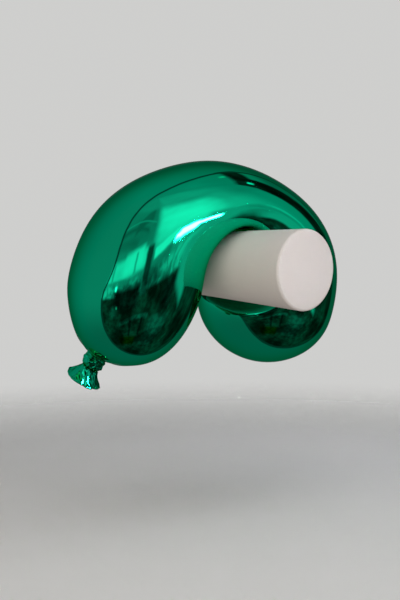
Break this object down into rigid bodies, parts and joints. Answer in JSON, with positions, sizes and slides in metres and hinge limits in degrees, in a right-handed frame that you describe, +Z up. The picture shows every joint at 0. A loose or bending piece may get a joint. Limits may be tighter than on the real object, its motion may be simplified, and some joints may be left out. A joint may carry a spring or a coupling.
{
  "type": "decorative wall hook",
  "caption": "Wall hook: a mirror-green metallised balloon bent over a tapered off-white peg, on a concealed steel wall plate.",
  "frame": {"origin": "where the peg's axis meets the wall, at the middle of the wall plate's back face", "axes": "+Z up, -Y out of the wall along the peg, +X to the right seen from the room, toward the balloon's round end"},
  "size_m": [0.1827, 0.1179, 0.1295],
  "materials": {
    "zinc_plated_steel": "bright zinc plating",
    "off_white_lacquer": "matt off-white lacquer on turned wood",
    "brass": "turned brass",
    "green_mirror_plating": "mirror-bright green metallised coating",
    "grey_silicone": "soft matt silicone"
  },
  "bodies": {
    "wall_fixing": {"wall_plate": "zinc_plated_steel", "peg_stud": "zinc_plated_steel", "lock_washer": "zinc_plated_steel", "jam_nut": "zinc_plated_steel"},
    "peg": {"peg": "off_white_lacquer", "peg_insert": "brass", "peg_sleeve": "grey_silicone"},
    "balloon": {"balloon_shell": "green_mirror_plating", "neck_pin": "zinc_plated_steel", "knot": "green_mirror_plating", "mouth": "green_mirror_plating", "mouth_lip": "green_mirror_plating", "bumper_neck_side": "grey_silicone", "bumper_round_side": "grey_silicone"}
  },
  "joints": [
    {"name": "peg_turn", "type": "hinge", "parent": "wall_fixing", "child": "peg", "pos_m": [0, 0, 0], "axis": [0, -1, 0], "continuous": true},
    {"name": "balloon_turn", "type": "hinge", "parent": "wall_fixing", "child": "balloon", "pos_m": [0, 0, 0], "axis": [0, -1, 0], "range_deg": [-12, 12]}
  ]
}
